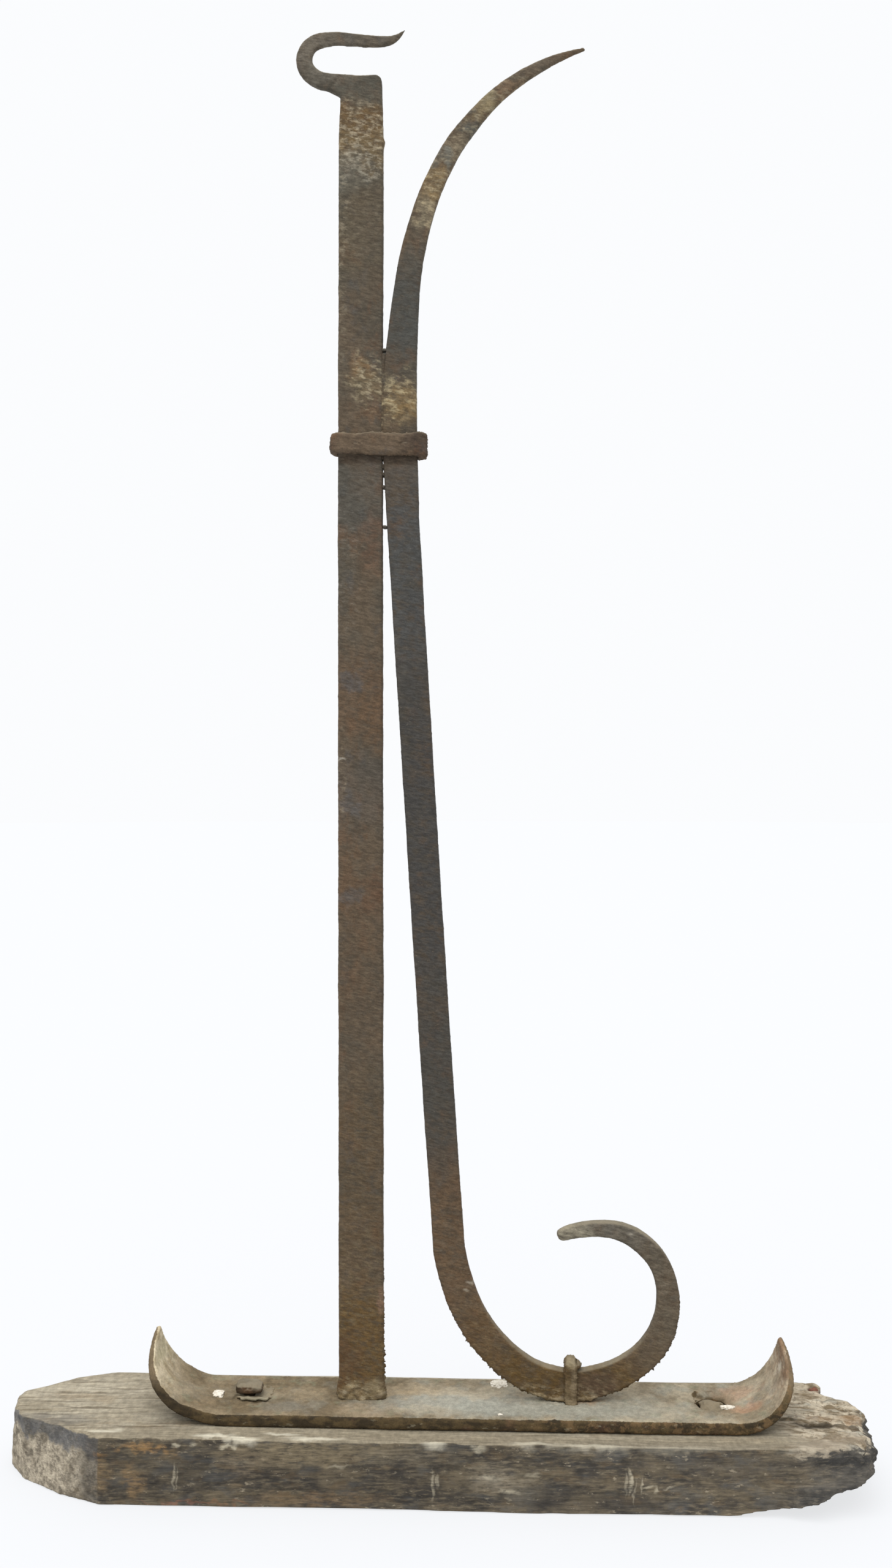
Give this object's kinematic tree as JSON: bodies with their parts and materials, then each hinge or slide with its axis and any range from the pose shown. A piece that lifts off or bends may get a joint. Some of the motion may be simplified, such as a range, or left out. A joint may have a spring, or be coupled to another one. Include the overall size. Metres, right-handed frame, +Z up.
{
  "type": "wrought iron hook bracket on timber block",
  "caption": "Antique forged iron bracket: flat upright with a hook, scrolled brace with a curved horn, bound by a collar, on an iron plate with curled ends, nailed to a weathered timber block.",
  "frame": {"origin": "middle of the timber block's underside", "axes": "+X along the block towards the scroll, +Y towards the back, +Z up"},
  "size_m": [0.501, 0.085, 0.8369],
  "materials": {
    "weathered_timber": "weathered, open grain",
    "plate_iron": "dusty rust",
    "upright_iron": "old rust",
    "brace_iron": "old rust",
    "collar_iron": "old rust",
    "clip_iron": "dusty rust",
    "left_nail_iron": "dusty rust",
    "rove_iron": "dusty rust",
    "right_nail_iron": "dusty rust",
    "stub_iron": "red rust"
  },
  "bodies": {
    "root": {"timber_base": "weathered_timber", "wall_plate": "plate_iron", "upright_bar": "upright_iron", "scroll_brace": "brace_iron", "bar_collar": "collar_iron", "foot_clip": "clip_iron", "left_nail": "left_nail_iron", "left_rove": "rove_iron", "right_nail": "right_nail_iron", "nail_stub": "stub_iron"}
  },
  "joints": []
}
